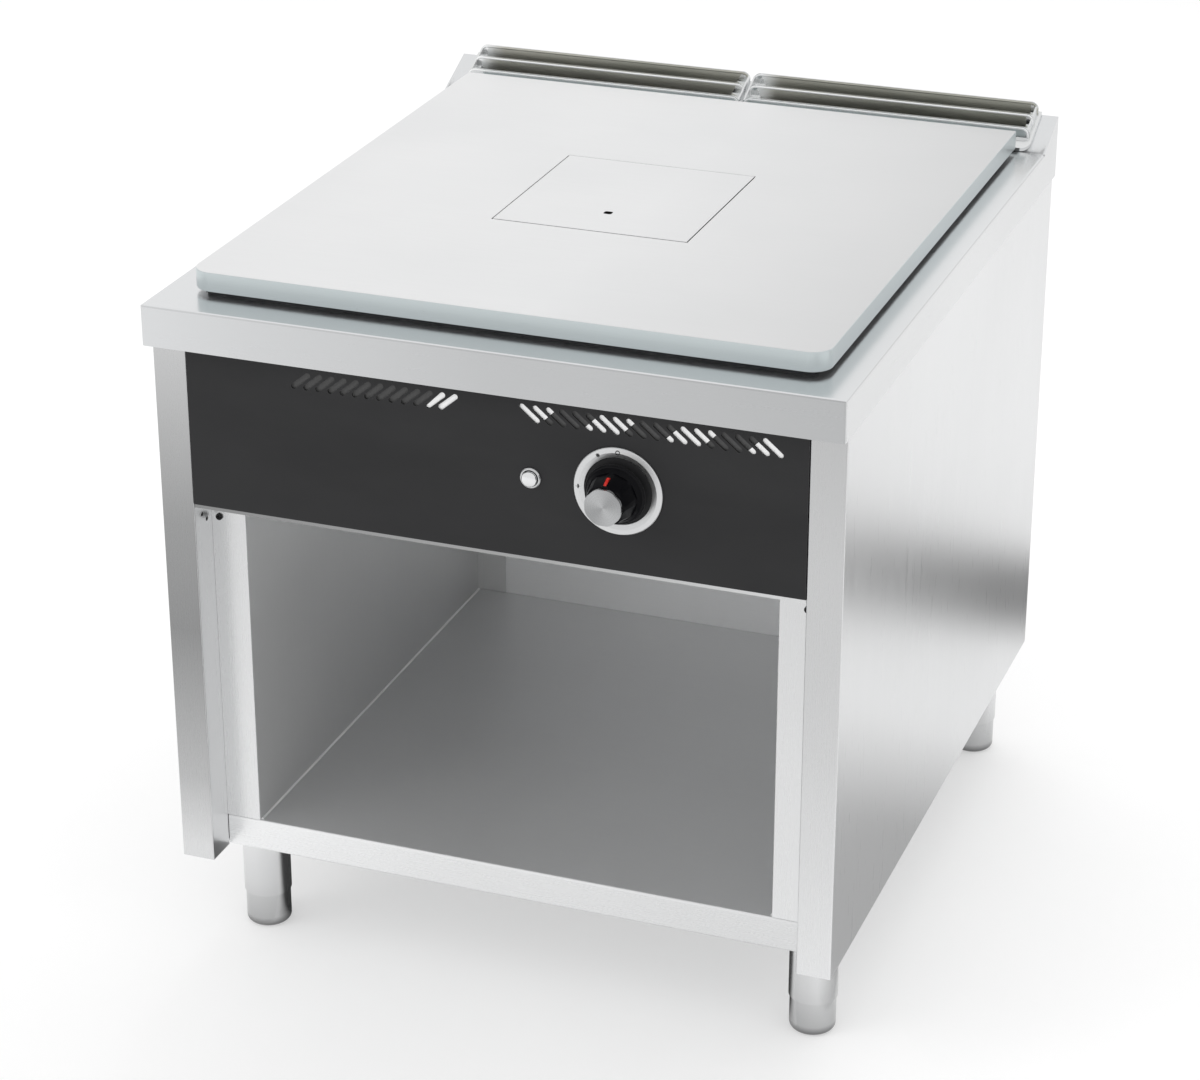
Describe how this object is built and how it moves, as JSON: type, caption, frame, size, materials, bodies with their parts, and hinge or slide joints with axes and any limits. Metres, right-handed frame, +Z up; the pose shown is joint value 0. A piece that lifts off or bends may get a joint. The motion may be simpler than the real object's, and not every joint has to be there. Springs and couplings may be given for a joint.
{
  "type": "gas solid top range",
  "caption": "Gas solid-top range: ground hot plate with a lift-out centre plate over a burner, black control panel with a tap knob and igniter, open cabinet and legs.",
  "frame": {"origin": "on the floor, in the middle of the footprint", "axes": "+X to the right seen from the front, +Y from the front to the back, +Z up"},
  "size_m": [0.8, 0.98, 0.88],
  "materials": {
    "worktop_steel": "polished",
    "cabinet_steel": "satin",
    "panel_black": "matte black enamel",
    "baffle_steel": "bright",
    "screen_grey": "dull grey",
    "plate_steel": "ground satin",
    "cover_steel": "polished",
    "galvanised_steel": "galvanised",
    "leg_steel": "polished",
    "foot_steel": "polished",
    "screw_steel": "plain",
    "cast_iron": "raw",
    "firebrick": "matte",
    "fibre_blanket": "matte",
    "brass": "machined",
    "copper": "drawn copper",
    "electrode_ceramic": "glazed",
    "lead_red": "matte",
    "knob_black": "satin black",
    "cap_silver": "spun",
    "pointer_red": "gloss",
    "bezel_silver": "satin",
    "button_chrome": "polished",
    "igniter_black": "moulded"
  },
  "bodies": {
    "range": {"worktop": "worktop_steel", "left_side_panel": "cabinet_steel", "right_side_panel": "cabinet_steel", "left_liner": "cabinet_steel", "right_liner": "cabinet_steel", "inner_back_panel": "cabinet_steel", "cabinet_floor": "cabinet_steel", "base_frame": "galvanised_steel", "front_crossbar": "cabinet_steel", "control_panel": "panel_black", "vent_baffle": "baffle_steel", "vent_screen": "screen_grey", "plate_frame": "cast_iron", "firebox": "galvanised_steel", "firebricks": "firebrick", "insulation": "fibre_blanket", "firebox_rails": "galvanised_steel", "burner_body": "cast_iron", "burner_cap": "cast_iron", "venturi": "cast_iron", "injector_holder": "brass", "injector": "brass", "pilot_burner": "galvanised_steel", "thermocouple": "copper", "spark_electrode": "electrode_ceramic", "ignition_lead": "lead_red", "tap_body": "brass", "tap_bracket": "galvanised_steel", "knob_bezel": "bezel_silver", "igniter_body": "igniter_black", "igniter_ring": "bezel_silver", "igniter_spring": "screw_steel", "gas_inlet": "brass", "supply_pipe": "copper", "burner_pipe": "copper", "pilot_pipe": "copper", "flue_duct": "galvanised_steel", "back_panel": "galvanised_steel", "compartment_ceiling": "cabinet_steel", "panel_screws": "screw_steel", "back_screws": "screw_steel", "hinge_screws": "screw_steel", "leg_sockets": "leg_steel", "leg_bolts": "screw_steel"},
    "tap": {"tap_plug": "brass", "tap_spring": "screw_steel"},
    "knob": {"tap_stem": "screw_steel", "knob": "knob_black", "knob_cap": "cap_silver", "knob_pointer": "pointer_red"},
    "igniter": {"igniter_button": "button_chrome"},
    "plate": {"hot_plate": "plate_steel"},
    "centre": {"centre_plate": "plate_steel"},
    "left_cover": {"left_flue_cover": "cover_steel"},
    "right_cover": {"right_flue_cover": "cover_steel"},
    "shutter": {"air_shutter": "galvanised_steel"},
    "foot_fl": {"front_left_foot": "foot_steel"},
    "foot_fr": {"front_right_foot": "foot_steel"},
    "foot_rl": {"rear_left_foot": "foot_steel"},
    "foot_rr": {"rear_right_foot": "foot_steel"}
  },
  "joints": [
    {"name": "knob_turn", "type": "hinge", "parent": "range", "child": "tap", "pos_m": [0.1478, -0.42, 0.6896], "axis": [0, -1, 0], "range_deg": [0, 90]},
    {"name": "knob_push", "type": "slide", "parent": "tap", "child": "knob", "axis": [0, 1, 0], "range_m": [0, 0.007], "stiffness_N_per_m": 700, "springref_m": -0.003, "deforming": ["tap_spring"]},
    {"name": "igniter_push", "type": "slide", "parent": "range", "child": "igniter", "axis": [0, 1, 0], "range_m": [0, 0.005], "stiffness_N_per_m": 600, "springref_m": -0.004, "deforming": ["igniter_spring"]},
    {"name": "hot_plate_lift", "type": "slide", "parent": "range", "child": "plate", "axis": [0, 0, 1], "range_m": [0, 0.15]},
    {"name": "centre_plate_lift", "type": "slide", "parent": "plate", "child": "centre", "axis": [0, 0, 1], "range_m": [0, 0.12]},
    {"name": "left_cover_lift", "type": "slide", "parent": "range", "child": "left_cover", "axis": [0, 0, 1], "range_m": [0, 0.06]},
    {"name": "right_cover_lift", "type": "slide", "parent": "range", "child": "right_cover", "axis": [0, 0, 1], "range_m": [0, 0.06]},
    {"name": "shutter_slide", "type": "slide", "parent": "range", "child": "shutter", "axis": [0, -1, 0], "range_m": [0, 0.0045]},
    {"name": "front_left_foot_extend", "type": "slide", "parent": "range", "child": "foot_fl", "axis": [0, 0, -1], "range_m": [0, 0.035]},
    {"name": "front_right_foot_extend", "type": "slide", "parent": "range", "child": "foot_fr", "axis": [0, 0, -1], "range_m": [0, 0.035]},
    {"name": "rear_left_foot_extend", "type": "slide", "parent": "range", "child": "foot_rl", "axis": [0, 0, -1], "range_m": [0, 0.035]},
    {"name": "rear_right_foot_extend", "type": "slide", "parent": "range", "child": "foot_rr", "axis": [0, 0, -1], "range_m": [0, 0.035]}
  ]
}
